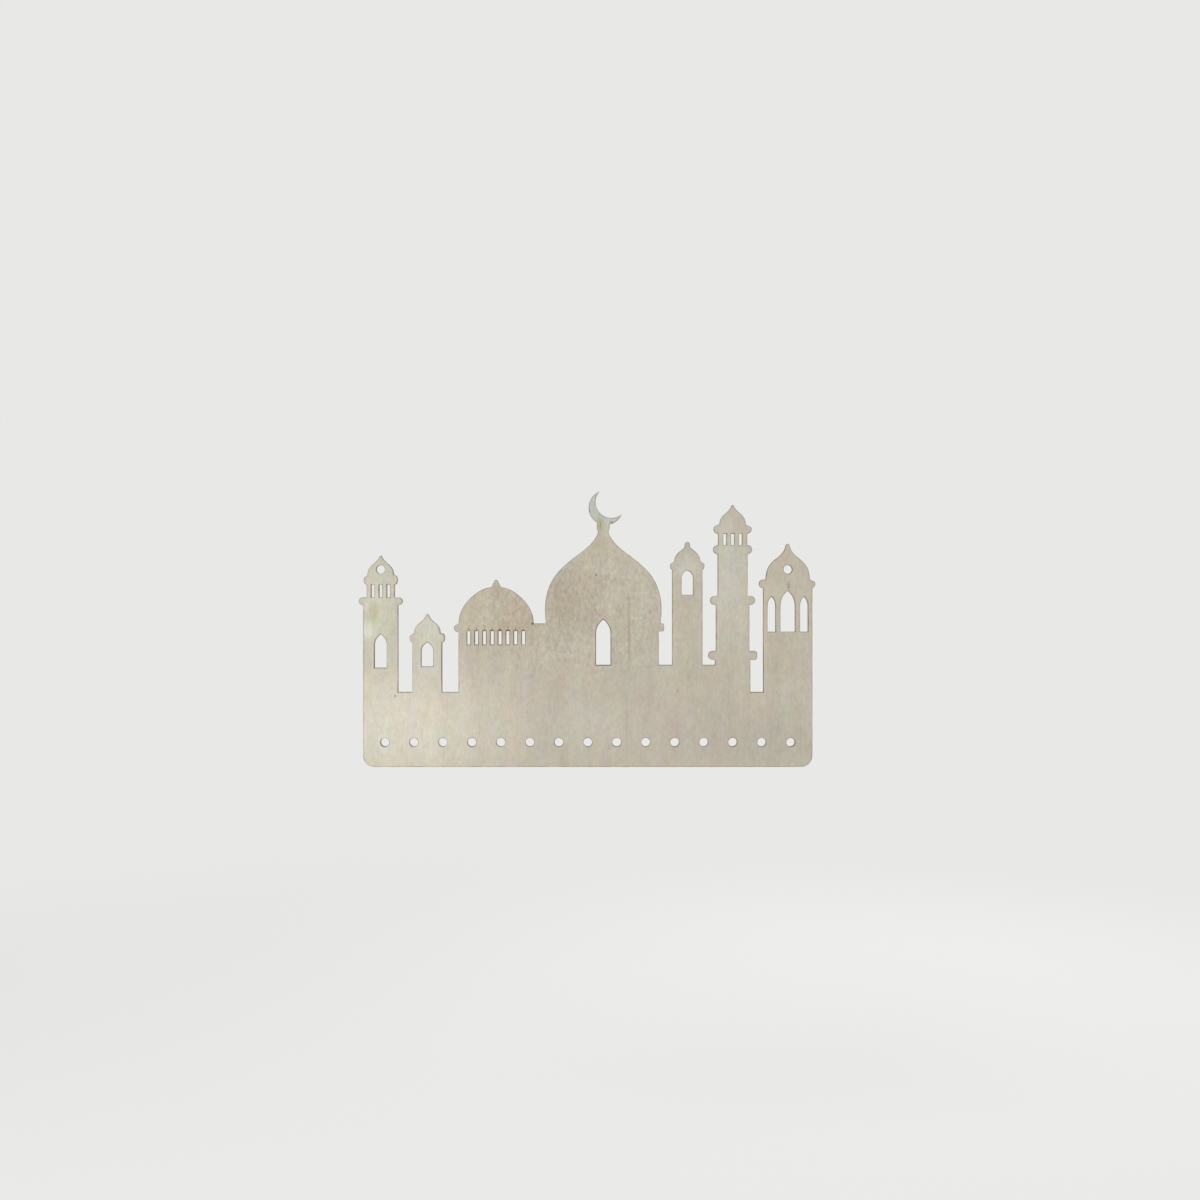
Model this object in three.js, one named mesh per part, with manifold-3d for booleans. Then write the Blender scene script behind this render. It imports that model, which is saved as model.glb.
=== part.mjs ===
import * as THREE from "three";
import Module from "manifold-3d";
import { mergeVertices } from "three/addons/utils/BufferGeometryUtils.js";

// A skyline of domes and minarets, cut from one thin plywood board, that hangs by two holes and
// carries pendants in a row of holes along its foot. Millimetres, +Z up, +X along the width, and
// the front looks along -Y. The origin is midway between the two hanging holes, inside the board.
// Towers are named from left to right. Each is measured upwards from what it stands on, and sizes
// with no other name are widths.

// The three plies and the two glue lines between them
const FACE_VENEER = 0.7;
const GLUE_LINE = 0.1;
const CORE_VENEER = 1.4;

// The wall that the towers stand on. It is raised by a step between the great dome and the tall
// minaret.
const WALL_HEIGHT = 51.6;
const RAISED_WALL_STEP = 18.8;
const CORNER_RADIUS = 8;

// Holes for the cord and for the pendants
const HOLE_DIAMETER = 6;
const PENDANT_HOLES = 15;
const PENDANT_END_MARGIN = 15;
const PENDANT_HEIGHT = 17;
const HANGING_HOLE_RISE = 3.9;

// The gaps between the towers, which with the towers add up to the width of the plate
const FIRST_GAP = 10;
const SECOND_GAP = 11.4;
const THIRD_GAP = 9.3;
const FOURTH_GAP = 8.7;
const FIFTH_GAP = 9;

// Slots that stand for railings
const SLOT_WIDTH = 2.2;
const SLOT_PITCH = 5.4;

// Left minaret: shaft, balcony, lantern with three slots, cornice and dome
const LEFT_SHAFT = 24;
const LEFT_SHAFT_HEIGHT = 60.2;
const LEFT_BALCONY_DEPTH = 5.2;
const LEFT_BALCONY_REACH = 3;
const LEFT_LANTERN = 19.2;
const LEFT_LANTERN_HEIGHT = 8.8;
const LEFT_SLOTS = 3;
const LEFT_CORNICE_DEPTH = 6.6;
const LEFT_CORNICE_REACH = 2;
const LEFT_DOME_SETBACK = 0.6;
const LEFT_DOME_HEIGHT = 13.5;
const LEFT_TIP = 1.4;
const LEFT_WINDOW = 8.6;
const LEFT_WINDOW_SILL = 16.8;
const LEFT_WINDOW_HEIGHT = 23.2;
const LEFT_WINDOW_ARCH = 7.4;

// Low turret
const TURRET = 20.4;
const TURRET_HEIGHT = 34.1;
const TURRET_CORNICE_DEPTH = 6.6;
const TURRET_CORNICE_REACH = 1.9;
const TURRET_DOME_SETBACK = 1.2;
const TURRET_DOME_HEIGHT = 13.1;
const TURRET_TIP = 2.2;
const TURRET_WINDOW = 8.2;
const TURRET_WINDOW_SILL = 17.7;
const TURRET_WINDOW_HEIGHT = 16.7;
const TURRET_WINDOW_ARCH = 6;

// Prayer hall: a low dome over a row of slots, a flat ledge beside it, and the great dome
const HALL_HEIGHT = 41.3;
const HALL_CORNICE_DEPTH = 6.1;
const HALL_CORNICE_REACH = 3.1;
const HALL_LEDGE = 8.5;
const HALL_SLOTS = 8;
const HALL_SLOT_LENGTH = 9.3;
const HALL_SLOT_DROP = 5.3;
const LOW_DOME = 51.8;
const LOW_DOME_HEIGHT = 25;
const LOW_FINIAL = 6.6;
const LOW_FINIAL_HEIGHT = 5.2;
const LOW_TIP = 2.6;
const GREAT_DOME = 80.4;
const GREAT_DOME_TAPER = 0.6;
const GREAT_DOME_OVERHANG = 1.9;
const GREAT_WAIST_HEIGHT = 9.6;
const GREAT_DOME_HEIGHT = 53.2;
const GREAT_KNOB_DEPTH = 5.5;
const GREAT_KNOB_REACH = 3.7;
const GREAT_KNOB_ROUNDING = 1.2;
const GREAT_WINDOW = 10;
const GREAT_WINDOW_HEIGHT = 31.3;
const GREAT_WINDOW_ARCH = 10.1;

// Stem and crescent on the great dome
const NECK = 7.2;
const NECK_FLARE_HEIGHT = 3.1;
const STEM = 8.8;
const STEM_HEIGHT = 2.5;
const CRESCENT_RADIUS = 11.9;
const CRESCENT_INNER_RADIUS = 11;
const CRESCENT_SHIFT = 5.4;
const CRESCENT_OFFSET = 1.8;
const CRESCENT_TURN = THREE.MathUtils.degToRad(45);

// Slim tower
const SLIM_SHAFT = 20.9;
const SLIM_SHAFT_HEIGHT = 65.7;
const SLIM_CORNICE_DEPTH = 5.8;
const SLIM_CORNICE_REACH = 1.3;
const SLIM_DOME_SETBACK = 1.55;
const SLIM_DOME_HEIGHT = 9.8;
const SLIM_FINIAL = 3.4;
const SLIM_FINIAL_HEIGHT = 3.7;
const SLIM_WINDOW = 7.9;
const SLIM_WINDOW_DROP = 0.4;
const SLIM_WINDOW_HEIGHT = 16.9;
const SLIM_WINDOW_ARCH = 5.2;

// Tall minaret: three tiers with balconies, lantern with three slots, upper balcony and dome
const TALL_SHAFT = 24.3;
const TALL_SHAFT_HEIGHT = 3.4;
const TALL_FIRST_REACH = 4.7;
const TALL_FIRST_ROUNDING = 1.9;
const TALL_MIDDLE = 23;
const TALL_MIDDLE_HEIGHT = 31.8;
const TALL_SECOND_REACH = 4;
const TALL_UPPER = 20.6;
const TALL_UPPER_HEIGHT = 28.9;
const TALL_UPPER_REACH = 3.1;
const TALL_BALCONY_DEPTH = 6.2;
const TALL_LANTERN = 20;
const TALL_LANTERN_HEIGHT = 7.9;
const TALL_SLOTS = 3;
const TALL_DOME_SETBACK = 1;
const TALL_DOME_HEIGHT = 13.7;
const TALL_TIP = 1.6;

// Right minaret: shaft with three windows side by side, balcony and onion dome
const RIGHT_SHAFT = 33.8;
const RIGHT_SHAFT_HEIGHT = 71.8;
const RIGHT_BALCONY_DEPTH = 6;
const RIGHT_BALCONY_LEFT_REACH = 2.9;
const RIGHT_BALCONY_RIGHT_REACH = 2;
const RIGHT_DOME_SETBACK = 1.8;
const RIGHT_DOME_HEIGHT = 24.6;
const RIGHT_TIP = 2.6;
const RIGHT_WINDOW = 10.2;
const RIGHT_WINDOW_DROP = 1.8;
const RIGHT_WINDOW_HEIGHT = 28.3;
const RIGHT_WINDOW_ARCH = 10.6;
const RIGHT_SIDE_WINDOW_DROP = 4;
const RIGHT_MULLION = 3.3;
const RIGHT_JAMB = 2.9;

// Shapes of the dome curves: how far up the side swells, how near the axis it is pinched, and how
// far below the tip its last sweep starts, as shares of the dome's own height and half width
const ROUND_DOME = { swell: 0.56, pinch: 0.32, sweep: 0.4 };
const SLIM_DOME = { swell: 0.5, pinch: 0.62, sweep: 0.34 };
const ONION_DOME = { swell: 0.65, pinch: 0.21, sweep: 0.43 };
const FLAT_DOME = { swell: 0.56, pinch: 0.42, sweep: 0 };
const BROAD_DOME = { swell: 0.635, pinch: 0.23, sweep: 0.325 };
const ARCH_FULLNESS = 0.62;
const SLOPED_NOSE = Math.PI / 7;

// How finely curves are cut
const HOLE_STEPS = 16;
const CORNER_STEPS = 6;
const LEDGE_STEPS = 3;
const DOME_STEPS = 8;
const GREAT_DOME_STEPS = 14;
const TIP_STEPS = 2;
const ARCH_STEPS = 4;
const CRESCENT_STEPS = 10;

const SAME_POINT = 1e-6;
const LEFT = -1;
const RIGHT = 1;

const sum = (sizes) => sizes.reduce((total, size) => total + size, 0);

// Places of the towers across the plate
const hallWidth = LOW_DOME + HALL_LEDGE + GREAT_DOME - GREAT_DOME_TAPER - GREAT_DOME_OVERHANG;
const towers = [LEFT_SHAFT, TURRET, hallWidth, SLIM_SHAFT, TALL_SHAFT, RIGHT_SHAFT];
const gaps = [FIRST_GAP, SECOND_GAP, THIRD_GAP, FOURTH_GAP, FIFTH_GAP];
const plateWidth = sum(towers) + sum(gaps);
const before = (tower) => sum(towers.slice(0, tower)) + sum(gaps.slice(0, tower));
const leftEdges = towers.map((width, tower) => before(tower) - plateWidth / 2);
const [leftEdge, turretEdge, hallEdge, slimEdge, tallEdge, rightEdge] = leftEdges;
const leftAxis = leftEdge + LEFT_SHAFT / 2;
const turretAxis = turretEdge + TURRET / 2;
const lowDomeAxis = hallEdge + LOW_DOME / 2;
const greatAxis = hallEdge + hallWidth + GREAT_DOME_OVERHANG - GREAT_DOME / 2;
const slimAxis = slimEdge + SLIM_SHAFT / 2;
const tallAxis = tallEdge + TALL_SHAFT / 2;
const rightAxis = rightEdge + RIGHT_SHAFT / 2;

// Heights above the bottom edge
const raisedWallTop = WALL_HEIGHT + RAISED_WALL_STEP;
const leftBalconyFoot = WALL_HEIGHT + LEFT_SHAFT_HEIGHT;
const leftLanternFoot = leftBalconyFoot + LEFT_BALCONY_DEPTH;
const leftLanternTop = leftLanternFoot + LEFT_LANTERN_HEIGHT;
const leftDomeFoot = leftLanternTop + LEFT_CORNICE_DEPTH;
const hangingHeight = leftDomeFoot + HANGING_HOLE_RISE;
const turretTop = WALL_HEIGHT + TURRET_HEIGHT;
const turretDomeFoot = turretTop + TURRET_CORNICE_DEPTH;
const hallTop = WALL_HEIGHT + HALL_HEIGHT;
const hallLedge = hallTop + HALL_CORNICE_DEPTH;
const lowCrown = hallLedge + LOW_DOME_HEIGHT;
const greatWaist = hallLedge + GREAT_WAIST_HEIGHT;
const neckHeight = greatWaist + GREAT_DOME_HEIGHT;
const stemFoot = neckHeight + NECK_FLARE_HEIGHT;
const slimTop = raisedWallTop + SLIM_SHAFT_HEIGHT;
const slimCrown = slimTop + SLIM_CORNICE_DEPTH + SLIM_DOME_HEIGHT;
const tallMiddleFoot = raisedWallTop + TALL_SHAFT_HEIGHT + TALL_BALCONY_DEPTH;
const tallUpperFoot = tallMiddleFoot + TALL_MIDDLE_HEIGHT + TALL_BALCONY_DEPTH;
const tallLanternFoot = tallUpperFoot + TALL_UPPER_HEIGHT + TALL_BALCONY_DEPTH;
const tallLanternTop = tallLanternFoot + TALL_LANTERN_HEIGHT;
const tallDomeFoot = tallLanternTop + TALL_BALCONY_DEPTH;
const rightTop = WALL_HEIGHT + RIGHT_SHAFT_HEIGHT;
const rightDomeFoot = rightTop + RIGHT_BALCONY_DEPTH;

// Climbs one side of a tower from its foot to its tip. Points hold the distance from the tower's
// axis and the height above the bottom edge.
class Climb {
  constructor(distance, height) {
    this.points = [new THREE.Vector2(distance, height)];
  }

  get end() {
    return this.points[this.points.length - 1];
  }

  to(distance, height) {
    this.points.push(new THREE.Vector2(distance, height));
    return this;
  }

  riseTo(height) {
    return this.to(this.end.x, height);
  }

  follow(curve, steps) {
    this.points.push(...curve.getPoints(steps));
    return this;
  }

  // A balcony or cornice that reaches out past the wall below it and ends in a round nose. A sloped
  // one falls away in a straight line from the foot of what stands on it.
  ledge({ depth, reach, above, rounding = depth / 2, sloped = false }) {
    const { x: wall, y: foot } = this.end;
    const across = Math.min(rounding, reach);
    const up = Math.min(rounding, depth / 2);
    const centre = wall + reach - across;
    const lower = [centre, foot + up, across, up, -Math.PI / 2, 0];
    const upper = [centre, foot + depth - up, across, up, 0, sloped ? SLOPED_NOSE : Math.PI / 2];
    this.follow(new THREE.EllipseCurve(...lower), LEDGE_STEPS);
    this.follow(new THREE.EllipseCurve(...upper), LEDGE_STEPS);
    return this.to(above, foot + depth);
  }

  // A dome's side, which swells from its foot and is drawn in to a distance from the axis.
  dome(distance, height, { swell, pinch, sweep }, steps = DOME_STEPS) {
    const foot = this.end.clone();
    const rise = height - foot.y;
    const outer = new THREE.Vector2(foot.x, foot.y + rise * swell);
    const inner = new THREE.Vector2(foot.x * pinch, height - rise * sweep);
    const top = new THREE.Vector2(distance, height);
    return this.follow(new THREE.CubicBezierCurve(foot, outer, inner, top), steps);
  }

  // The round end of a finial, from the side that the climb has reached to the axis.
  tip() {
    const { x: radius, y: height } = this.end;
    return this.follow(new THREE.EllipseCurve(0, height, radius, radius, 0, Math.PI / 2), TIP_STEPS);
  }

  // The climbed side as part of the skyline, which runs from left to right.
  side(axis, direction) {
    const placed = this.points.map(({ x, y }) => new THREE.Vector2(axis + direction * x, y));
    return direction === LEFT ? placed : placed.reverse();
  }
}

// Both sides of a tower, climbed by one function that is told which side it is on.
function bothSides(axis, climb) {
  return [...climb(LEFT).side(axis, LEFT), ...climb(RIGHT).side(axis, RIGHT)];
}

function leftMinaret(direction) {
  const lantern = LEFT_LANTERN / 2;
  const cornice = { depth: LEFT_CORNICE_DEPTH, reach: LEFT_CORNICE_REACH, sloped: direction === LEFT };
  return new Climb(LEFT_SHAFT / 2, direction === LEFT ? CORNER_RADIUS : WALL_HEIGHT)
    .riseTo(leftBalconyFoot)
    .ledge({ depth: LEFT_BALCONY_DEPTH, reach: LEFT_BALCONY_REACH, above: lantern })
    .riseTo(leftLanternTop)
    .ledge({ ...cornice, above: lantern - LEFT_DOME_SETBACK })
    .dome(LEFT_TIP / 2, leftDomeFoot + LEFT_DOME_HEIGHT - LEFT_TIP / 2, ROUND_DOME)
    .tip();
}

function turret(direction) {
  const cornice = { depth: TURRET_CORNICE_DEPTH, reach: TURRET_CORNICE_REACH, sloped: direction === LEFT };
  return new Climb(TURRET / 2, WALL_HEIGHT)
    .riseTo(turretTop)
    .ledge({ ...cornice, above: TURRET / 2 - TURRET_DOME_SETBACK })
    .dome(TURRET_TIP / 2, turretDomeFoot + TURRET_DOME_HEIGHT - TURRET_TIP / 2, ROUND_DOME)
    .tip();
}

// The hall's cornice is on the left of the low dome only.
function lowDome(direction) {
  const half = LOW_DOME / 2;
  const cornice = { depth: HALL_CORNICE_DEPTH, reach: HALL_CORNICE_REACH, sloped: true };
  const climb =
    direction === LEFT
      ? new Climb(half, WALL_HEIGHT).riseTo(hallTop).ledge({ ...cornice, above: half })
      : new Climb(half, hallLedge);
  return climb
    .dome(LOW_FINIAL / 2, lowCrown, FLAT_DOME)
    .to(LOW_TIP / 2, lowCrown + LOW_FINIAL_HEIGHT - LOW_TIP / 2)
    .tip();
}

// The knob is on the right of the great dome only. The dome is climbed up to the crescent's stem.
function greatDome(direction) {
  const foot = GREAT_DOME / 2 - GREAT_DOME_TAPER;
  const knob = { depth: GREAT_KNOB_DEPTH, reach: GREAT_KNOB_REACH, rounding: GREAT_KNOB_ROUNDING };
  const climb =
    direction === RIGHT
      ? new Climb(GREAT_DOME / 2 - GREAT_DOME_OVERHANG, raisedWallTop)
          .riseTo(hallLedge - GREAT_KNOB_DEPTH)
          .ledge({ ...knob, above: foot })
      : new Climb(foot, hallLedge);
  return climb
    .to(GREAT_DOME / 2, greatWaist)
    .dome(NECK / 2, neckHeight, BROAD_DOME, GREAT_DOME_STEPS)
    .to(STEM / 2, stemFoot);
}

function slimTower() {
  const cornice = { depth: SLIM_CORNICE_DEPTH, reach: SLIM_CORNICE_REACH, sloped: true };
  return new Climb(SLIM_SHAFT / 2, raisedWallTop)
    .riseTo(slimTop)
    .ledge({ ...cornice, above: SLIM_SHAFT / 2 - SLIM_DOME_SETBACK })
    .dome(SLIM_FINIAL / 2, slimCrown, SLIM_DOME)
    .riseTo(slimCrown + SLIM_FINIAL_HEIGHT - SLIM_FINIAL / 2)
    .tip();
}

function tallMinaret(direction) {
  const first = {
    depth: TALL_BALCONY_DEPTH,
    reach: TALL_FIRST_REACH,
    rounding: direction === RIGHT ? TALL_FIRST_ROUNDING : TALL_BALCONY_DEPTH / 2,
  };
  const second = { depth: TALL_BALCONY_DEPTH, reach: TALL_SECOND_REACH };
  const upper = { depth: TALL_BALCONY_DEPTH, reach: TALL_UPPER_REACH };
  return new Climb(TALL_SHAFT / 2, direction === LEFT ? raisedWallTop : WALL_HEIGHT)
    .riseTo(raisedWallTop + TALL_SHAFT_HEIGHT)
    .ledge({ ...first, above: TALL_MIDDLE / 2 })
    .riseTo(tallMiddleFoot + TALL_MIDDLE_HEIGHT)
    .ledge({ ...second, above: TALL_UPPER / 2 })
    .riseTo(tallUpperFoot + TALL_UPPER_HEIGHT)
    .ledge({ ...upper, above: TALL_LANTERN / 2 })
    .riseTo(tallLanternTop)
    .ledge({ ...upper, above: TALL_LANTERN / 2 - TALL_DOME_SETBACK, sloped: direction === RIGHT })
    .dome(TALL_TIP / 2, tallDomeFoot + TALL_DOME_HEIGHT - TALL_TIP / 2, ROUND_DOME)
    .tip();
}

function rightMinaret(direction) {
  const reach = direction === LEFT ? RIGHT_BALCONY_LEFT_REACH : RIGHT_BALCONY_RIGHT_REACH;
  const balcony = { depth: RIGHT_BALCONY_DEPTH, reach, sloped: direction === RIGHT };
  return new Climb(RIGHT_SHAFT / 2, direction === LEFT ? WALL_HEIGHT : CORNER_RADIUS)
    .riseTo(rightTop)
    .ledge({ ...balcony, above: RIGHT_SHAFT / 2 - RIGHT_DOME_SETBACK })
    .dome(RIGHT_TIP / 2, rightDomeFoot + RIGHT_DOME_HEIGHT - RIGHT_TIP / 2, ONION_DOME)
    .tip();
}

// The crescent's edge, from the left side of the stem round both horns to its right side. The outer
// circle rests on the right corner of the stem. The inner circle is shifted towards the opening,
// and the horns end where the two circles cross.
function crescent() {
  const x = greatAxis + CRESCENT_OFFSET;
  const stemTop = stemFoot + STEM_HEIGHT;
  const z = stemTop + Math.sqrt(CRESCENT_RADIUS ** 2 - (STEM / 2 - CRESCENT_OFFSET) ** 2);
  const innerX = x + CRESCENT_SHIFT * Math.cos(CRESCENT_TURN);
  const innerZ = z + CRESCENT_SHIFT * Math.sin(CRESCENT_TURN);
  const circles = CRESCENT_RADIUS ** 2 - CRESCENT_INNER_RADIUS ** 2;
  const along = (circles + CRESCENT_SHIFT ** 2) / (2 * CRESCENT_SHIFT);
  const across = Math.sqrt(CRESCENT_RADIUS ** 2 - along ** 2);
  const horn = Math.atan2(across, along);
  const innerHorn = Math.atan2(across, along - CRESCENT_SHIFT);
  const meets = (edge) => -Math.acos((greatAxis + edge - x) / CRESCENT_RADIUS);
  const outer = [x, z, CRESCENT_RADIUS, CRESCENT_RADIUS];
  const inner = [innerX, innerZ, CRESCENT_INNER_RADIUS, CRESCENT_INNER_RADIUS];
  const limbs = [
    new THREE.EllipseCurve(...outer, meets(-STEM / 2), CRESCENT_TURN + horn, true),
    new THREE.EllipseCurve(...inner, CRESCENT_TURN + innerHorn, CRESCENT_TURN - innerHorn, false),
    new THREE.EllipseCurve(...outer, CRESCENT_TURN - horn, meets(STEM / 2), true),
  ];
  return limbs.flatMap((limb) => limb.getPoints(CRESCENT_STEPS));
}

// A rounded bottom corner, from the side of the plate to its foot or from its foot to its side.
function corner(direction) {
  const centre = direction * (plateWidth / 2 - CORNER_RADIUS);
  const start = direction === RIGHT ? 0 : -Math.PI / 2;
  const circle = [centre, CORNER_RADIUS, CORNER_RADIUS, CORNER_RADIUS];
  return new THREE.EllipseCurve(...circle, start, start - Math.PI / 2, true).getPoints(CORNER_STEPS);
}

// A window with a pointed arch.
function windowOutline({ axis, width, sill, height, arch }) {
  const half = width / 2;
  const apex = sill + height;
  const spring = apex - arch;
  const shoulder = spring + arch * ARCH_FULLNESS;
  const path = new THREE.Path();
  path.moveTo(axis - half, sill);
  path.lineTo(axis + half, sill);
  path.lineTo(axis + half, spring);
  path.quadraticCurveTo(axis + half, shoulder, axis, apex);
  path.quadraticCurveTo(axis - half, shoulder, axis - half, spring);
  return path.getPoints(ARCH_STEPS);
}

// A row of upright slots, centred on an axis.
function slots(axis, count, foot, length) {
  return Array.from({ length: count }, (unused, i) => {
    const left = axis + (i - (count - 1) / 2) * SLOT_PITCH - SLOT_WIDTH / 2;
    const right = left + SLOT_WIDTH;
    return [
      new THREE.Vector2(left, foot),
      new THREE.Vector2(right, foot),
      new THREE.Vector2(right, foot + length),
      new THREE.Vector2(left, foot + length),
    ];
  });
}

function roundHole(x, z) {
  const radius = HOLE_DIAMETER / 2;
  return new THREE.EllipseCurve(x, z, radius, radius, 0, 2 * Math.PI).getPoints(HOLE_STEPS);
}

// A closed outline with each point once, also where one stretch of it starts at the last one's end.
function withoutRepeats(points) {
  return points.filter((point, i) => point.distanceTo(points.at(i - 1)) > SAME_POINT);
}

const skyline = [
  ...bothSides(leftAxis, leftMinaret),
  ...bothSides(turretAxis, turret),
  ...bothSides(lowDomeAxis, lowDome),
  ...greatDome(LEFT).side(greatAxis, LEFT),
  ...crescent(),
  ...greatDome(RIGHT).side(greatAxis, RIGHT),
  ...bothSides(slimAxis, slimTower),
  ...bothSides(tallAxis, tallMinaret),
  ...bothSides(rightAxis, rightMinaret),
  ...corner(RIGHT),
  ...corner(LEFT),
];

const windows = [
  {
    axis: leftAxis,
    width: LEFT_WINDOW,
    sill: WALL_HEIGHT + LEFT_WINDOW_SILL,
    height: LEFT_WINDOW_HEIGHT,
    arch: LEFT_WINDOW_ARCH,
  },
  {
    axis: turretAxis,
    width: TURRET_WINDOW,
    sill: WALL_HEIGHT + TURRET_WINDOW_SILL,
    height: TURRET_WINDOW_HEIGHT,
    arch: TURRET_WINDOW_ARCH,
  },
  {
    axis: greatAxis,
    width: GREAT_WINDOW,
    sill: raisedWallTop,
    height: GREAT_WINDOW_HEIGHT,
    arch: GREAT_WINDOW_ARCH,
  },
  {
    axis: slimAxis,
    width: SLIM_WINDOW,
    sill: slimTop - SLIM_WINDOW_DROP - SLIM_WINDOW_HEIGHT,
    height: SLIM_WINDOW_HEIGHT,
    arch: SLIM_WINDOW_ARCH,
  },
];

// The side windows fill what the middle one leaves of the shaft, and share its sill.
const sideWindow = (RIGHT_SHAFT - RIGHT_WINDOW) / 2 - RIGHT_MULLION - RIGHT_JAMB;
for (const place of [LEFT, 0, RIGHT]) {
  const shortened = place ? RIGHT_SIDE_WINDOW_DROP : 0;
  windows.push({
    axis: rightAxis + place * (RIGHT_WINDOW / 2 + RIGHT_MULLION + sideWindow / 2),
    width: place ? sideWindow : RIGHT_WINDOW,
    sill: rightTop - RIGHT_WINDOW_DROP - RIGHT_WINDOW_HEIGHT,
    height: RIGHT_WINDOW_HEIGHT - shortened,
    arch: RIGHT_WINDOW_ARCH - shortened,
  });
}

const pendantPitch = (plateWidth - 2 * PENDANT_END_MARGIN) / (PENDANT_HOLES - 1);
const pendantHoles = Array.from({ length: PENDANT_HOLES }, (unused, i) =>
  roundHole((i - (PENDANT_HOLES - 1) / 2) * pendantPitch, PENDANT_HEIGHT),
);

const openings = [
  ...pendantHoles,
  roundHole(leftAxis, hangingHeight),
  roundHole(rightAxis, hangingHeight),
  ...windows.map(windowOutline),
  ...slots(leftAxis, LEFT_SLOTS, leftLanternFoot, LEFT_LANTERN_HEIGHT),
  ...slots(lowDomeAxis, HALL_SLOTS, hallLedge - HALL_SLOT_DROP - HALL_SLOT_LENGTH, HALL_SLOT_LENGTH),
  ...slots(tallAxis, TALL_SLOTS, tallLanternFoot, TALL_LANTERN_HEIGHT),
];

const faceWood = new THREE.MeshStandardMaterial({ color: 0xcbc2ad, roughness: 0.75, metalness: 0 });
const coreWood = new THREE.MeshStandardMaterial({ color: 0xb59b77, roughness: 0.85, metalness: 0 });
const glue = new THREE.MeshStandardMaterial({ color: 0x6b4a2e, roughness: 0.6, metalness: 0 });

const layers = [
  { name: "front_face_veneer", thickness: FACE_VENEER, material: faceWood },
  { name: "front_glue_line", thickness: GLUE_LINE, material: glue },
  { name: "core_veneer", thickness: CORE_VENEER, material: coreWood },
  { name: "back_glue_line", thickness: GLUE_LINE, material: glue },
  { name: "back_face_veneer", thickness: FACE_VENEER, material: faceWood },
];
const boardThickness = sum(layers.map(({ thickness }) => thickness));

const wasm = await Module();
wasm.setup();

// A solid that fills an outline from a front depth to a back depth.
function prism(outline, front, back) {
  const shape = new THREE.Shape(withoutRepeats(outline));
  const geometry = new THREE.ExtrudeGeometry(shape, { depth: back - front, bevelEnabled: false });
  geometry.rotateX(Math.PI / 2);
  geometry.translate(0, back, 0);
  geometry.deleteAttribute("normal");
  geometry.deleteAttribute("uv");
  const { attributes, index } = mergeVertices(geometry);
  const vertProperties = attributes.position.array;
  const triVerts = Uint32Array.from(index.array);
  return new wasm.Manifold(new wasm.Mesh({ numProp: 3, vertProperties, triVerts }));
}

// The cuts run past both faces of the board.
const cuts = openings.map((outline) => prism(outline, -boardThickness, boardThickness));
const allCuts = cuts.reduce((joined, cut) => joined.add(cut));

// One layer of the board, cut to the skyline and through its openings.
function layer({ name, thickness, material }, front) {
  const solid = prism(skyline, front, front + thickness).subtract(allCuts);
  const { vertProperties, triVerts } = solid.getMesh();
  const surface = new THREE.BufferGeometry();
  surface.setAttribute("position", new THREE.BufferAttribute(vertProperties, 3));
  surface.setIndex(new THREE.BufferAttribute(triVerts, 1));
  const geometry = surface.toNonIndexed();
  geometry.computeVertexNormals();
  const mesh = new THREE.Mesh(geometry, material);
  mesh.name = name;
  return mesh;
}

const decoration = new THREE.Group();
layers.forEach((spec, i) => {
  const inFront = layers.slice(0, i).map(({ thickness }) => thickness);
  decoration.add(layer(spec, sum(inFront) - boardThickness / 2));
});
decoration.position.set(-(leftAxis + rightAxis) / 2, 0, -hangingHeight);

export default decoration;
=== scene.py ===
"""Dresses the hanging skyline board: its three plies and two glue lines, cut by laser from one sheet.

The board hangs upright with its front towards -Y. The frame's origin lies midway between the two
hanging holes. Places and sizes on the board are in millimetres, or times MM where Blender's metres
are needed, and those of the studio are in metres.
"""

import logging
import math
from collections.abc import Callable, Sequence
from dataclasses import dataclass, field
from enum import Enum
from typing import Any

import bpy
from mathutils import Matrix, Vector
from mathutils.bvhtree import BVHTree

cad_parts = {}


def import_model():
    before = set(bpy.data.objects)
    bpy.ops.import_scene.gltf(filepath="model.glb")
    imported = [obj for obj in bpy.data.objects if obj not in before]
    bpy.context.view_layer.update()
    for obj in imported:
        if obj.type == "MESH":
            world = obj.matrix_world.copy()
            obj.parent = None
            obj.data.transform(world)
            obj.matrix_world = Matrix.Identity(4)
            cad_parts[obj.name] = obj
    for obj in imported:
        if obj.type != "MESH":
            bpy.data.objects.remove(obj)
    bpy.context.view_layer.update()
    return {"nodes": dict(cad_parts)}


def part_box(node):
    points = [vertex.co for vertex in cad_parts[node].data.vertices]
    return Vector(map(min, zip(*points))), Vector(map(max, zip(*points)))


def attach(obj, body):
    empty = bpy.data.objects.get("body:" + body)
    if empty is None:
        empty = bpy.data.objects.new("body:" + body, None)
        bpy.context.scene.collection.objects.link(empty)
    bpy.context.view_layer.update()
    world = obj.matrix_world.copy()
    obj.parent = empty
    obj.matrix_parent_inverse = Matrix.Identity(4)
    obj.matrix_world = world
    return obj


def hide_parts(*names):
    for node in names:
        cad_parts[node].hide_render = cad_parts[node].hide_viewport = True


LOG = logging.getLogger("skyline")
MM = 0.001
BODY = "root"
# A face is part of a flat side of the board where its normal lies at least this far along the thickness.
FLAT = 0.9
SMOOTH_ANGLE = math.radians(28)

Colour = tuple[int, int, int]
Triple = tuple[float, float, float]


class Layer(Enum):
    """The layers of the board from front to back, by the names of their CAD nodes and finish slots."""

    FRONT_VENEER = "front_face_veneer"
    FRONT_GLUE = "front_glue_line"
    CORE = "core_veneer"
    BACK_GLUE = "back_glue_line"
    BACK_VENEER = "back_face_veneer"


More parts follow.
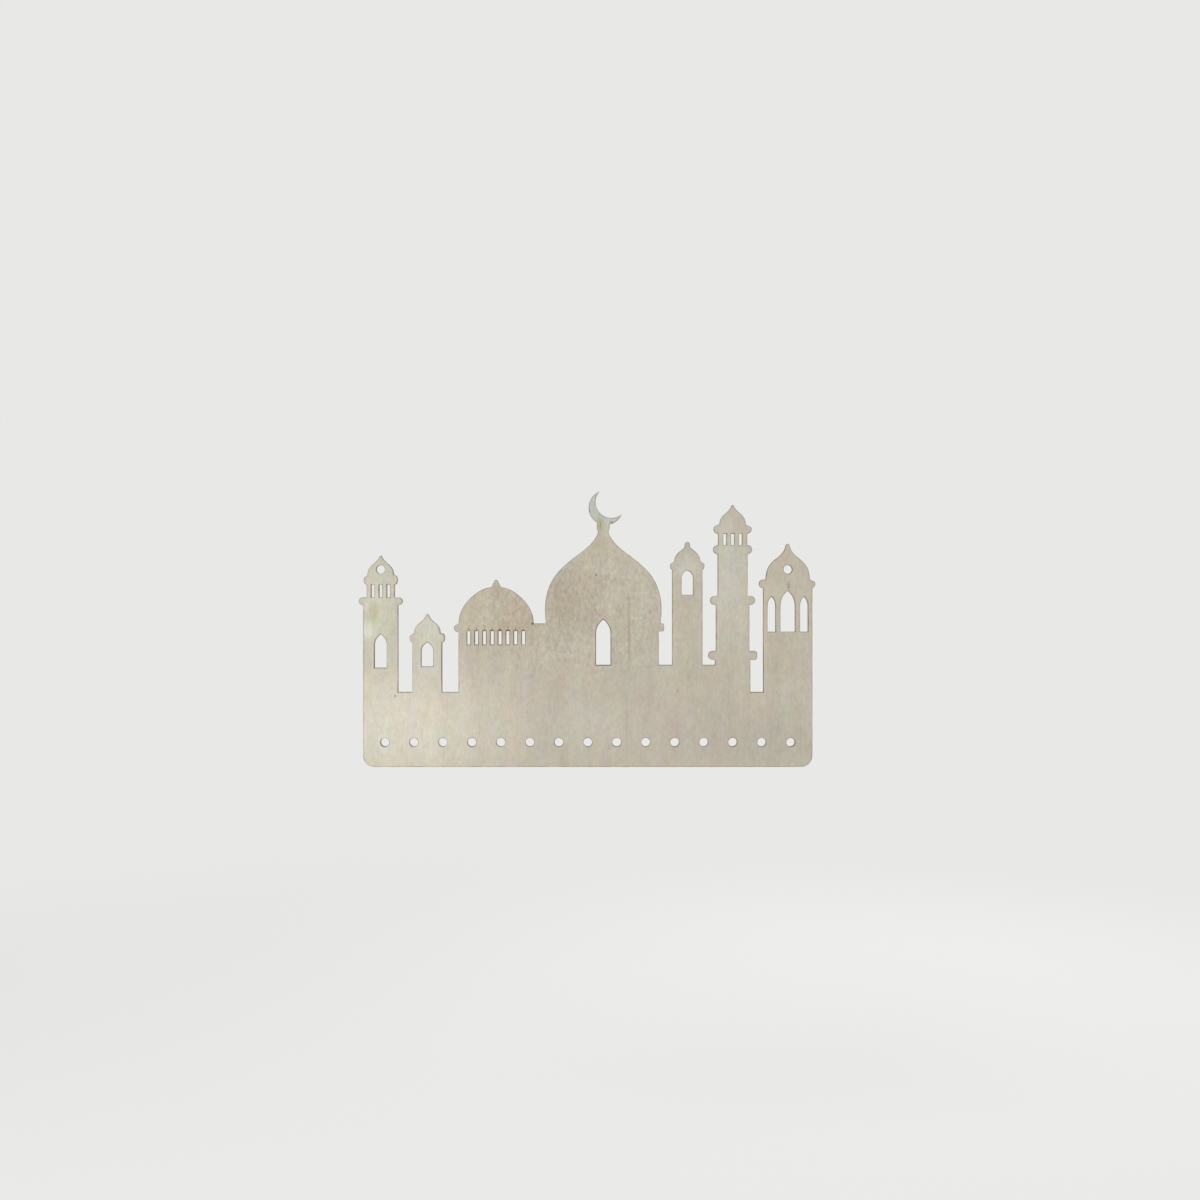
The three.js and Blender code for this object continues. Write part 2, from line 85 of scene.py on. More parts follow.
def seen(colour: Colour) -> tuple[float, float, float, float]:
    """Turns a colour as it is seen into the linear colour that Blender's sockets hold.

    Args:
        colour: Red, green and blue from 0 to 255.

    Returns:
        Linear red, green and blue, and full alpha.
    """
    shares = [channel / 255 for channel in colour]
    linear = [share / 12.92 if share <= 0.04045 else ((share + 0.055) / 1.055) ** 2.4 for share in shares]
    return (*linear, 1.0)


# Nodes written as expressions


class Value:
    """An output of a node, which can be used in arithmetic with other values, numbers and triples."""

    def __init__(self, nodes: "Nodes", socket: bpy.types.NodeSocket) -> None:
        """Wraps one output socket of one tree of nodes."""
        self.nodes = nodes
        self.socket = socket

    @property
    def is_triple(self) -> bool:
        """Tells whether the value is a colour or a vector."""
        return self.socket.type in ("RGBA", "VECTOR")

    def __add__(self, other: Any) -> "Value":
        """Adds a value, number or triple."""
        return self.nodes.maths("ADD", self, other)

    def __radd__(self, other: Any) -> "Value":
        """Adds this value to a number or triple."""
        return self.nodes.maths("ADD", other, self)

    def __sub__(self, other: Any) -> "Value":
        """Takes away a value, number or triple."""
        return self.nodes.maths("SUBTRACT", self, other)

    def __rsub__(self, other: Any) -> "Value":
        """Takes this value away from a number or triple."""
        return self.nodes.maths("SUBTRACT", other, self)

    def __mul__(self, other: Any) -> "Value":
        """Multiplies by a value, number or triple."""
        return self.nodes.maths("MULTIPLY", self, other)

    def __rmul__(self, other: Any) -> "Value":
        """Multiplies a number or triple by this value."""
        return self.nodes.maths("MULTIPLY", other, self)

    def __truediv__(self, other: Any) -> "Value":
        """Divides by a value, number or triple."""
        return self.nodes.maths("DIVIDE", self, other)

    def __pow__(self, power: Any) -> "Value":
        """Raises the value to a power."""
        return self.nodes.maths("POWER", self, power)

    def limited(self) -> "Value":
        """Keeps the value between 0 and 1."""
        return self.nodes.maths("MINIMUM", self.nodes.maths("MAXIMUM", self, 0.0), 1.0)

    def fade(self, start: float, end: float) -> "Value":
        """Fades the value in softly.

        Args:
            start: Where the result is 0.
            end: Where the result is 1. It may lie below start, and the value then fades out.

        Returns:
            A value from 0 to 1.
        """
        low, high = min(start, end), max(start, end)
        sockets = {
            "Value": self,
            "From Min": low,
            "From Max": high,
            "To Min": float(start > end),
            "To Max": float(end > start),
        }
        return self.nodes.add("ShaderNodeMapRange", {"interpolation_type": "SMOOTHSTEP"}, sockets)


class Nodes:
    """A tree of shader nodes that expressions add to."""

    def __init__(self, owner: bpy.types.Material | bpy.types.World) -> None:
        """Empties the node tree of a material or world."""
        owner.use_nodes = True
        self.tree = owner.node_tree
        self.tree.nodes.clear()

    def add(
        self, kind: str, settings: dict[str, Any], sockets: dict[str | int, Any], output: str | int = 0
    ) -> Value:
        """Adds one node.

        Args:
            kind: The node's type.
            settings: Its settings, which are made before its sockets are filled.
            sockets: Values, numbers or triples, by the name or place of the socket that takes them.
            output: The name or place of the output that is wanted.

        Returns:
            The wanted output, or the first input of a node that has no outputs.
        """
        node = self.tree.nodes.new(kind)
        for name, setting in settings.items():
            setattr(node, name, setting)
        for place, content in sockets.items():
            if isinstance(content, Value):
                self.tree.links.new(content.socket, node.inputs[place])
            else:
                node.inputs[place].default_value = content
        return Value(self, node.outputs[output]) if node.outputs else Value(self, node.inputs[0])

    def maths(self, operation: str, *operands: Any) -> Value:
        """Adds a Math node, or a Vector Math node where an operand is a colour or a vector.

        Args:
            operation: The node's operation.
            operands: Values, numbers or triples.

        Returns:
            The node's result.
        """
        triple = any(isinstance(item, tuple) or getattr(item, "is_triple", False) for item in operands)
        if not triple:
            return self.add("ShaderNodeMath", {"operation": operation}, dict(enumerate(operands)))
        whole = [(item,) * 3 if isinstance(item, (int, float)) else item for item in operands]
        return self.add("ShaderNodeVectorMath", {"operation": operation}, dict(enumerate(whole)))

    def place(self) -> Value:
        """Returns the place on the object in millimetres."""
        return self.add("ShaderNodeTexCoord", {}, {}, "Object") / MM

    def part(self, place: Value, axis: str) -> Value:
        """Returns one coordinate of a place, by its axis's name."""
        return self.add("ShaderNodeSeparateXYZ", {}, {0: place}, axis)

    def noise(self, place: Value, noise: "Noise") -> Value:
        """Adds noise around 0.

        Args:
            place: The place in millimetres.
            noise: What the noise is like.

        Returns:
            A value from about -0.5 to 0.5.
        """
        sockets = {
            "Vector": (place + noise.shift) / noise.size,
            "Scale": 1.0,
            "Detail": noise.detail,
            "Roughness": noise.roughness,
        }
        return self.add("ShaderNodeTexNoise", {}, sockets) - 0.5

    def mix(self, share: Value | float, first: Any, second: Any) -> Value:
        """Mixes two colours.

        Args:
            share: How much of the second colour shows, from 0 to 1.
            first: The colour that shows where the share is 0.
            second: The colour that shows where the share is 1.

        Returns:
            The mixed colour.
        """
        return self.add("ShaderNodeMix", {"data_type": "RGBA"}, {0: share, 6: first, 7: second}, 2)

    def surface(
        self, colour: Value, roughness: Value, specular: float, relief: "Relief", height: Value
    ) -> None:
        """Ends the tree with a solid surface.

        Args:
            colour: The surface's colour.
            roughness: How matt it is, from 0 to 1.
            specular: How strongly it reflects.
            relief: How its small relief is lit.
            height: The relief's height, in depths of the relief.
        """
        bump = {"Strength": relief.strength, "Distance": relief.depth * MM, "Height": height}
        sockets = {
            "Base Color": colour,
            "Roughness": roughness,
            "Specular IOR Level": specular,
            "Normal": self.add("ShaderNodeBump", {}, bump, "Normal"),
        }
        shader = self.add("ShaderNodeBsdfPrincipled", {}, sockets)
        self.add("ShaderNodeOutputMaterial", {}, {"Surface": shader})


# Finishes


@dataclass(frozen=True)
class Noise:
    """One kind of spots, streaks or specks, and what they do to the wood."""

    # How wide its spots are along each axis, and where it starts
    size: Triple
    # How many finer layers it has, and how strong they are
    detail: float = 2.0
    roughness: float = 0.5
    shift: Triple = (0.0, 0.0, 0.0)
    # How much it lightens the wood everywhere, and how much more where the wood is lively
    light: float = 0.0
    lively: float = 0.0
    # How far it rises out of the wood, in depths of the relief
    height: float = 0.0


@dataclass(frozen=True)
class Relief:
    """A surface's small relief, with its depth in millimetres."""

    depth: float
    strength: float


@dataclass(frozen=True)
class Spot:
    """A soft oval spot on a face, as strong as its strength within its core.

    Its place and half sizes are in millimetres, and its core is a share of its size.
    """

    x: float
    z: float
    half_width: float
    half_height: float
    strength: float = 1.0
    core: float = 0.0

    def share(self, nodes: Nodes, place: Value) -> Value:
        """Finds how strong the spot is.

        Args:
            nodes: The nodes of the finish.
            place: The place on the face in millimetres.

        Returns:
            The strength, which is 0 outside the spot.
        """
        away = (place - (self.x, 0.0, self.z)) * (1 / self.half_width, 0.0, 1 / self.half_height)
        distance = nodes.add("ShaderNodeVectorMath", {"operation": "LENGTH"}, {0: away}, "Value")
        return distance.fade(1.0, self.core) * self.strength


@dataclass(frozen=True)
class Tint(Spot):
    """A spot of another colour, such as a streak, a smudge or a mineral mark, and in places painted light
    and painted shade.
    """

    colour: Colour = field(kw_only=True)

    def over(self, nodes: Nodes, place: Value, colour: Any) -> Value:
        """Lays the spot over a colour.

        Args:
            nodes: The nodes of the finish.
            place: The place on the face in millimetres.
            colour: The colour below.

        Returns:
            The colour with the spot.
        """
        return nodes.mix(self.share(nodes, place), colour, seen(self.colour))


@dataclass(frozen=True)
class SlotSmoke:
    """The smoke that stains the face above a row of slots, most of all above their corners."""

    # The middles of the first and last slots, the pitch between them and the height of their tops
    left: float
    right: float
    pitch: float
    top: float
    strength: float
    # How the thin tail above each slot and the smoke at its corners fade, across the slot and upwards
    tail_across: tuple[float, float] = (0.75, 0.15)
    tail_up: tuple[float, float] = (5.2, 0.5)
    tail_strength: float = 0.6
    corners_across: tuple[float, float] = (2.0, 0.8)
    corners_up: tuple[float, float] = (1.9, 0.2)
    corners_strength: float = 0.9
    # The corners' smoke grows from the row's start to this share of its length.
    corners_grow: float = 0.7
    # How the smoke starts at the tops, and how close to the outer slots' middles it is whole
    start_up: tuple[float, float] = (-0.3, 0.1)
    overhang: float = 1.0
    patches: Noise = Noise((5.0, 5.0, 2.2))
    patchiness: float = 3.0
    level: float = 0.9

    def share(self, nodes: Nodes, place: Value) -> Value:
        """Finds how strong the smoke is.

        Args:
            nodes: The nodes of the finish.
            place: The place on the face in millimetres.

        Returns:
            The strength, which is 0 away from the slots.
        """
        along = nodes.part(place, "X") - self.left
        rise = nodes.part(place, "Z") - self.top
        across = nodes.maths("PINGPONG", along, self.pitch / 2)
        length, end = self.right - self.left, self.pitch / 2
        in_row = along.fade(-end, -self.overhang) * along.fade(length + end, length + self.overhang)
        tail = across.fade(*self.tail_across) * rise.fade(*self.tail_up) * self.tail_strength
        corners = across.fade(*self.corners_across) * rise.fade(*self.corners_up)
        corners = corners * along.fade(-self.pitch, length * self.corners_grow) * self.corners_strength
        patchy = self.level + nodes.noise(place, self.patches) * self.patchiness
        return (tail + corners) * in_row * rise.fade(*self.start_up) * patchy * self.strength


@dataclass(frozen=True)
class BareVeneer:
    """Sanded, unfinished pale wood with upright grain, scorched along its cuts."""

    name: str
    tone: Colour
    tints: tuple[Tint, ...]
    marks_and_shade: tuple[Tint, ...]
    # Where the wood is most mottled, and where its cuts are browned more or less, partly as laser char and
    # partly as painted shade
    lively: Spot
    soot: tuple[Spot, ...]
    # Which part of the endless figure the face shows
    shift: Triple
    scorch: Colour
    scorch_strength: float
    smoke: SlotSmoke | None

    # How far the slow drift bends the grain and the tints
    GRAIN_WAVER = (5.0, 0.0, 0.0)
    TINT_WAVER = (7.0, 0.0, 7.0)
    # What the pink and yellow figures do to red, green and blue
    PINK_HUE = (0.16, -0.11, -0.03)
    YELLOW_HUE = (0.06, 0.05, -0.23)
    # The lightness that the figure varies
    LIGHT = 1.005
    # The share of cuts that is scorched, how patchily, and how fast the scorch fades on the face
    SCORCHED = 0.55
    PATCHINESS = 2.6
    RIM_FALL = 1.2
    ROUGHNESS = 0.72
    STREAKS_ROUGHNESS = 0.2
    SPECULAR = 0.25
    RELIEF = Relief(depth=0.06, strength=0.35)

    def tinted(self, nodes: Nodes, place: Value, drift: Value) -> Value:
        """Lays the tints and marks over the tone, with the painted light and shade that some of them carry.

        Args:
            nodes: The nodes of the finish.
            place: The place on the face in millimetres.
            drift: The slow drift that bends the tints.

        Returns:
            The wood's colour without its figure.
        """
        colour = seen(self.tone)
        for tint in self.tints:
            colour = tint.over(nodes, place + drift * self.TINT_WAVER, colour)
        for mark in self.marks_and_shade:
            colour = mark.over(nodes, place, colour)
        return colour

    def scorched(self, nodes: Nodes, place: Value) -> Value:
        """Finds how strongly the face is browned: by the laser and its smoke, and by painted shade along
        some cuts.

        Args:
            nodes: The nodes of the finish.
            place: The place on the face in millimetres.

        Returns:
            A value from 0 to 1.
        """
        rim = nodes.add("ShaderNodeAttribute", {"attribute_name": SCORCH}, {}, "Fac")
        patchy = self.SCORCHED + nodes.noise(place, SCORCH_PATCHES) * self.PATCHINESS
        # The soot spots add painted shade along some cuts besides the laser char, and take browning away
        # elsewhere.
        for spot in self.soot:
            patchy = patchy + spot.share(nodes, place)
        burnt = (rim**self.RIM_FALL * patchy).limited() * self.scorch_strength
        return (burnt + self.smoke.share(nodes, place)).limited() if self.smoke else burnt

    def material(self) -> bpy.types.Material:
        """Builds the finish.

        Returns:
            The finish as a material.
        """
        material = bpy.data.materials.new(self.name)
        nodes = Nodes(material)
        place = nodes.place()
        grained = place + self.shift
        drift = nodes.noise(grained, DRIFT)
        wavy = grained + drift * self.GRAIN_WAVER
        lively = self.lively.share(nodes, place)

        bands, streaks, fibres = (nodes.noise(wavy, noise) for noise in (BANDS, STREAKS, FIBRES))
        dashes = nodes.noise(wavy, DASHES).fade(*DASHES_SHOW)
        blotches, mottle = (nodes.noise(grained, noise) for noise in (BLOTCHES, MOTTLE))
        pink, yellow = (nodes.noise(grained, noise) for noise in (PINK, YELLOW))
        light = bands * BANDS.light + blotches * BLOTCHES.light
        light = light + streaks * STREAKS.light + fibres * FIBRES.light
        light = light + mottle * (MOTTLE.light + lively * MOTTLE.lively)
        light = light + dashes * (DASHES.light + lively * DASHES.lively)

        colour = self.tinted(nodes, place, drift)
        colour = colour * (1.0 + pink * self.PINK_HUE + yellow * self.YELLOW_HUE)
        colour = colour * (self.LIGHT + light)
        colour = nodes.mix(self.scorched(nodes, place), colour, seen(self.scorch))
        height = streaks * STREAKS.height + fibres * FIBRES.height + dashes * DASHES.height
        roughness = self.ROUGHNESS + streaks * self.STREAKS_ROUGHNESS
        nodes.surface(colour, roughness, self.SPECULAR, self.RELIEF, height)
        return material


@dataclass(frozen=True)
class BurntEdge:
    """The browned wood or glue on the edge that the laser leaves, with streaks through the board."""

    name: str
    pale: Colour
    dark: Colour
    streak: float

    LENGTH = 9.0
    STREAKS_SHARE = 1.5
    SOOT_SHARE = 1.2
    ROUGHNESS = 0.6
    SOOT_ROUGHNESS = 0.3
    SPECULAR = 0.3
    RELIEF = Relief(depth=0.05, strength=0.5)

    def material(self) -> bpy.types.Material:
        """Builds the finish.

        Returns:
            The finish as a material.
        """
        material = bpy.data.materials.new(self.name)
        nodes = Nodes(material)
        place = nodes.place()
        streaks = nodes.noise(place, Noise((self.streak, self.LENGTH, self.streak), 3.0, 0.6))
        soot = nodes.noise(place, EDGE_SOOT)
        share = 0.5 + streaks * self.STREAKS_SHARE + soot * self.SOOT_SHARE
        colour = nodes.mix(share.limited(), seen(self.pale), seen(self.dark))
        roughness = self.ROUGHNESS + soot * self.SOOT_ROUGHNESS
        nodes.surface(colour, roughness, self.SPECULAR, self.RELIEF, streaks)
        return material


# The wood's figure, from its slow drift to its finest specks
DRIFT = Noise((34.0, 34.0, 52.0))
BANDS = Noise((11.0, 11.0, 150.0), 3.0, light=0.22)
PINK = Noise((15.0, 15.0, 26.0), 4.0, 0.6, shift=(40.0, 0.0, 80.0))
YELLOW = Noise((11.0, 11.0, 22.0), 4.0, 0.6, shift=(90.0, 0.0, 20.0))
BLOTCHES = Noise((6.0, 6.0, 8.5), light=0.14)
MOTTLE = Noise((2.1, 2.1, 3.6), 4.0, 0.76, light=0.42, lively=0.5)
STREAKS = Noise((1.5, 1.5, 12.0), 3.0, 0.6, light=0.18, height=0.5)
FIBRES = Noise((0.3, 0.3, 4.0), 2.0, 0.6, light=0.16, height=0.9)
DASHES = Noise((0.8, 0.8, 4.6), 1.0, light=-0.05, lively=-0.10, height=-0.5)
# The dashes are the noise's peaks, and these are the values where they start and reach their full strength.
DASHES_SHOW = (0.12, 0.26)

# How patchily the laser browns the face along the cuts, and the edge itself
SCORCH_PATCHES = Noise((9.0, 9.0, 9.0), 3.0, 0.6)
EDGE_SOOT = Noise((7.0, 7.0, 7.0), 3.0)

# The point attribute that is 1 along a cut and 0 away from it
SCORCH = "scorch"

# Broad shades of the front, roughly from left to right. They are partly the wood's own uneven tone and
# partly painted light, which makes the left side paler
FRONT_TINTS_AND_LIGHT = (
    Tint(-135, -108, 125, 75, colour=(221, 214, 196)),
    Tint(-142, -25, 24, 66, colour=(206, 205, 186)),
    Tint(-108, -42, 20, 26, colour=(209, 206, 189)),
    Tint(-108, -64, 12, 18, 0.5, colour=(217, 214, 199)),
    Tint(-76, -34, 26, 26, colour=(195, 185, 164)),
    Tint(-60, -16, 10, 8, 0.6, colour=(186, 167, 146)),
    Tint(-46, -36, 26, 26, colour=(186, 174, 151)),
    Tint(-10, -22, 36, 38, colour=(180, 170, 151)),
    Tint(12, 15, 17, 15, 0.7, colour=(184, 178, 157)),
    Tint(12, -9, 14, 14, 0.5, colour=(179, 173, 154)),
    Tint(11, 19, 7, 8, 0.5, colour=(174, 168, 148)),
    Tint(28, -28, 24, 40, colour=(190, 183, 165)),
    Tint(5, -108, 60, 30, 0.8, colour=(198, 191, 177)),
    Tint(62, -112, 14, 34, 0.7, colour=(184, 173, 161)),
    Tint(100, -12, 20, 70, colour=(199, 195, 181)),
    Tint(71, -72, 13, 18, 0.6, colour=(186, 177, 158)),
    Tint(71, 0, 11, 14, 0.8, colour=(204, 202, 189)),
    Tint(115, -118, 60, 34, colour=(184, 177, 162)),
    Tint(136, -84, 17, 18, 0.8, colour=(196, 188, 174)),
    Tint(154, -90, 11, 34, 0.5, colour=(196, 186, 178)),
    Tint(130, -16, 13, 15, 0.8, colour=(198, 192, 170)),
)
# The grey crescent and its olive stem, the left minaret's stain, the streaks by the great window, specks,
# and last a dark grey spot of painted shade on a ledge
FRONT_MARKS_AND_SHADE = (
    Tint(14.5, 43.5, 15, 13.5, 1.0, 0.85, colour=(189, 187, 181)),
    Tint(11.4, 31, 3.8, 8.5, 0.9, 0.4, colour=(181, 177, 150)),
    Tint(11.2, 31, 0.9, 5.0, 0.8, colour=(146, 140, 104)),
    Tint(3.6, 40.4, 0.8, 2.4, 0.8, colour=(104, 100, 96)),
    Tint(18.8, 32.6, 2.2, 0.9, 0.8, colour=(100, 96, 90)),
    Tint(-145.2, -29.6, 6.6, 11.5, 0.9, 0.15, colour=(192, 188, 160)),
    Tint(-151, -42, 8.0, 10, 0.75, colour=(224, 227, 211)),
    Tint(-150.5, -25.0, 3.0, 7.0, 0.7, colour=(217, 206, 191)),
    Tint(30.9, -45, 1.7, 40, 0.65, colour=(163, 150, 130)),
    Tint(29.4, -104, 1.6, 28, 0.4, colour=(170, 160, 142)),
    Tint(12.9, -31.5, 8.0, 6.0, 0.5, colour=(182, 160, 148)),
    Tint(8.2, -3.8, 0.7, 1.3, 0.9, 0.3, colour=(112, 100, 86)),
    Tint(7.4, -28.0, 0.5, 1.6, 0.85, 0.3, colour=(122, 110, 96)),
    Tint(64.7, -83.9, 0.5, 1.2, 0.85, 0.3, colour=(116, 104, 90)),
    Tint(-130.5, -87.3, 0.6, 1.5, 0.85, 0.3, colour=(136, 124, 108)),
    Tint(-132.8, -82.0, 0.5, 1.0, 0.7, 0.3, colour=(146, 134, 118)),
    Tint(140.9, -11.3, 1.4, 4.6, 0.8, colour=(150, 128, 108)),
    # Painted shade on a ledge
    Tint(-35.7, -37.4, 1.3, 1.3, 0.9, 0.3, colour=(92, 90, 92)),
)
# Where cuts are browned more than elsewhere, or less below 0. This is partly laser char and partly painted
# shade, such as the dark right side of the turret
FRONT_SCORCH_AND_SHADE = (
    Spot(12.8, -50, 11, 36, 1.8, 0.65),
    Spot(-61, -47, 28, 9, 0.6, 0.7),
    Spot(-98, -66, 5, 18, 0.8, 0.5),
    Spot(-128, -60, 5, 26, -0.5, 0.5),
    Spot(-136.7, -57, 3, 9, -0.4, 0.5),
    Spot(122.8, -37, 5, 20, -0.8, 0.5),
    Spot(112.7, -10, 5, 12, -0.3, 0.5),
)
FRONT_LIVELY = Spot(-8, -26, 96, 60, 1.0, 0.45)
BACK_TINTS = (
    Tint(90, -60, 80, 70, colour=(204, 197, 179)),
    Tint(-70, -90, 90, 60, colour=(183, 174, 155)),
    Tint(20, -10, 60, 60, colour=(196, 190, 174)),
)
BACK_LIVELY = Spot(-70, -80, 90, 70, 0.8, 0.3)

FRONT_WOOD = BareVeneer(
    name="front_veneer_bare_wood",
    tone=(191, 183, 166),
    tints=FRONT_TINTS_AND_LIGHT,
    marks_and_shade=FRONT_MARKS_AND_SHADE,
    lively=FRONT_LIVELY,
    soot=FRONT_SCORCH_AND_SHADE,
    shift=(0.0, 0.0, 0.0),
    scorch=(100, 84, 68),
    scorch_strength=0.9,
    smoke=SlotSmoke(left=-79.75, right=-41.95, pitch=5.4, top=-42.6, strength=0.8),
)
BACK_WOOD = BareVeneer(
    name="back_veneer_bare_wood",
    tone=(193, 185, 167),
    tints=BACK_TINTS,
    marks_and_shade=(),
    lively=BACK_LIVELY,
    soot=(),
    shift=(370.0, 0.0, 210.0),
    scorch=(96, 76, 56),
    scorch_strength=1.0,
    smoke=None,
)
VENEER_EDGE = BurntEdge("veneer_burnt_edge", (160, 138, 108), (112, 88, 62), 0.55)
CORE_EDGE = BurntEdge("core_burnt_edge", (146, 120, 88), (92, 68, 46), 0.4)
GLUE_EDGE = BurntEdge("glue_line_burnt", (92, 70, 50), (58, 42, 30), 0.8)


# The cut outline

# At a sharp corner the line moves in by at most 1 over this times as far as elsewhere.
SHARPEST_MITRE = 0.3
# Clearances rise by at most this much for each unit along the line.
STEEPEST = 0.6


@dataclass(frozen=True)
class Outline:
    """The closed lines that the laser follows, seen from the front, with the wood on their left."""

    loops: tuple[tuple[Vector, ...], ...]

    # A turn this sharp is a corner, and so is a slighter one where the line doesn't bend on beside it.
    SHARP = math.radians(50)
    SLIGHT = math.radians(12)
    BENDS_ON = 0.4
    # A side this much longer than the curve's next one is straight.
    STRAIGHT = 1.8
    # A curve is cut this finely.
    STEP_TURN = math.radians(6)
    SHORTEST_STEP = 0.15 * MM
    # Clearances are searched this far in, by steps, and this is how soon narrow wood slows a line down.
    SEARCH = 1.2 * MM
    PROBE = 0.04 * MM
    NARROW = 0.25 * MM
    # Two distances that differ by less than this share are the same.
    SAME = 0.99

    @classmethod
    def of_node(cls, node: bpy.types.Object) -> "Outline":
        """Reads the outline off the front of a CAD node.

        Args:
            node: The node's object, which stays as it is.

        Returns:
            The outline as the node has it, with short straight facets for curves.
        """
        copy = merged_copy(node)
        mesh = copy.data
        faces = [face.vertices for face in mesh.polygons if face.normal.y < -FLAT]
        sides = {(face[i - 1], face[i]) for face in faces for i in range(len(face))}
        following = {start: end for start, end in sides if (end, start) not in sides}
        loops = []
        while following:
            start = min(following)
            loop = [start]
            while (point := following.pop(loop[-1])) != start:
                loop.append(point)
            loops.append(tuple(Vector((mesh.vertices[i].co.x, mesh.vertices[i].co.z)) for i in loop))
        bpy.data.meshes.remove(mesh)
        return cls(tuple(loops))

    def rounded(self) -> "Outline":
        """Returns the outline with the curves that its facets stand for."""
        return Outline(tuple(self._rounded(loop) for loop in self.loops))

    @classmethod
    def _rounded(cls, points: Sequence[Vector]) -> tuple[Vector, ...]:
        """Bends the facets of one closed line.

        Args:
            points: The line's corners and the points on its curves.

        Returns:
            Those points and more between them.
        """
        count = len(points)
        sides = [points[(i + 1) % count] - points[i] for i in range(count)]
        lengths = [side.length for side in sides]
        headings = [side.normalized() for side in sides]
        turns = [headings[i - 1].angle_signed(headings[i]) for i in range(count)]

        def is_corner(i: int) -> bool:
            """Tells whether the line has a corner at a point."""
            turn = abs(turns[i])
            beside = (turns[i - 1], turns[(i + 1) % count])
            bends_on = any(other * turns[i] > 0 and abs(other) > cls.BENDS_ON * turn for other in beside)
            return turn > cls.SHARP or (turn > cls.SLIGHT and not bends_on)

        corners = [is_corner(i) for i in range(count)]

        def is_straight(i: int) -> bool:
            """Tells whether the side that starts at a point is straight."""
            before = corners[i] or lengths[i] > cls.STRAIGHT * lengths[i - 1]
            after = (i + 1) % count
            return before and (corners[after] or lengths[i] > cls.STRAIGHT * lengths[after])

        straight = [is_straight(i) for i in range(count)]

        def heading_at(i: int) -> Vector:
            """Returns the line's direction at a point that is no corner."""
            if straight[i - 1] or straight[i]:
                return headings[i - 1] if straight[i - 1] else headings[i]
            return (headings[i - 1] * lengths[i] + headings[i] * lengths[i - 1]).normalized()

        line = []
        for i in range(count):
            after = (i + 1) % count
            line.append(points[i])
            if straight[i] or (corners[i] and corners[after]):
                continue
            leaves = None if corners[i] else heading_at(i)
            arrives = None if corners[after] else heading_at(after)
            leaves = leaves or 2 * headings[i].dot(arrives) * headings[i] - arrives
            arrives = arrives or 2 * headings[i].dot(leaves) * headings[i] - leaves
            steps = math.ceil(leaves.angle(arrives) / cls.STEP_TURN)
            steps = max(1, min(steps, int(lengths[i] / cls.SHORTEST_STEP)))
            ends = (points[i], leaves * lengths[i], points[after], arrives * lengths[i])
            line += [curve_point(*ends, step / steps) for step in range(1, steps)]
        return tuple(line)

    def clearances(self) -> list[list[float]]:
        """Finds how far in from each point the line could move before it met itself.

        Returns:
            The distances, line by line.
        """
        walls, corners = [], []
        for loop in self.loops:
            first, count = len(corners), len(loop)
            corners += [(point.x, side * self.SEARCH, point.y) for point in loop for side in (-2, 2)]
            ends = [(first + 2 * i, first + 2 * ((i + 1) % count)) for i in range(count)]
            walls += [(start, start + 1, end + 1, end) for start, end in ends]
        tree = BVHTree.FromPolygons(corners, walls)

        def is_clear(point: Vector, way_in: float) -> bool:
            """Tells whether a point that moved in lies as far from the whole line as it moved."""
            return tree.find_nearest((point.x, 0.0, point.y))[3] > self.SAME * way_in

        clear = []
        for loop in self.loops:
            reaches = []
            for point, inward in zip(loop, inward_directions(loop)):
                way_in, further = 0.0, self.PROBE
                while way_in < self.SEARCH and is_clear(point + inward * further, further):
                    way_in, further = further, further + self.PROBE
                reaches.append(way_in)
            clear.append(evened(loop, reaches))
        return clear

    def moved_in(self, clear: list[list[float]], way_in: float) -> list[list[Vector]]:
        """Moves the line inwards, and less where the wood is narrow.

        Args:
            clear: The line's clearances.
            way_in: How far it moves.

        Returns:
            The moved points, line by line.
        """
        share = way_in / (way_in + self.NARROW)
        return [
            [
                point + inward * min(way_in, share * reach)
                for point, inward, reach in zip(loop, inward_directions(loop), reaches)
            ]
            for loop, reaches in zip(self.loops, clear)
        ]


def inward_directions(loop: Sequence[Vector]) -> list[Vector]:
    """Finds the way into the wood at each point of a closed line.

    Args:
        loop: The line's points, with the wood on its left.

    Returns:
        For each point the way that moves both of its sides in by 1.
    """
    ways = []
    for i, point in enumerate(loop):
        before = (point - loop[i - 1]).normalized()
        after = (loop[(i + 1) % len(loop)] - point).normalized()
        along = (before + after).normalized()
        ways.append(Vector((-along.y, along.x)) / max(along.dot(after), SHARPEST_MITRE))
    return ways


def evened(loop: Sequence[Vector], reaches: list[float]) -> list[float]:
    """Lowers distances that rise too steeply along a closed line.

    Args:
        loop: The line's points.
        reaches: The distance at each point.

    Returns:
        The lowered distances.
    """
    even = list(reaches)
    for step in (1, -1):
        for i in range(0, 2 * len(loop) * step, step):
            here, before = i % len(loop), (i - step) % len(loop)
            even[here] = min(even[here], even[before] + STEEPEST * (loop[here] - loop[before]).length)
    return even


def curve_point(start: Vector, leaves: Vector, end: Vector, arrives: Vector, share: float) -> Vector:
    """Finds a point on the curve between two points.

    Args:
        start: The first point.
        leaves: The direction there, as long as the distance between the points.
        end: The second point.
        arrives: The direction there, as long as the distance between the points.
        share: How far along the curve the point lies, from 0 to 1.

    Returns:
        The point.
    """
    back = 1 - share
    ends = start * (back * back * (1 + 2 * share)) + end * (share * share * (1 + 2 * back))
    return ends + leaves * (share * back * back) - arrives * (share * share * back)


# Modelling by hand


def pick_nothing() -> None:
    """Leaves no object selected."""
    bpy.ops.object.select_all(action="DESELECT")


def pick(item: bpy.types.Object) -> None:
    """Makes one object the only one that is selected."""
    pick_nothing()
    item.select_set(True)
    bpy.context.view_layer.objects.active = item


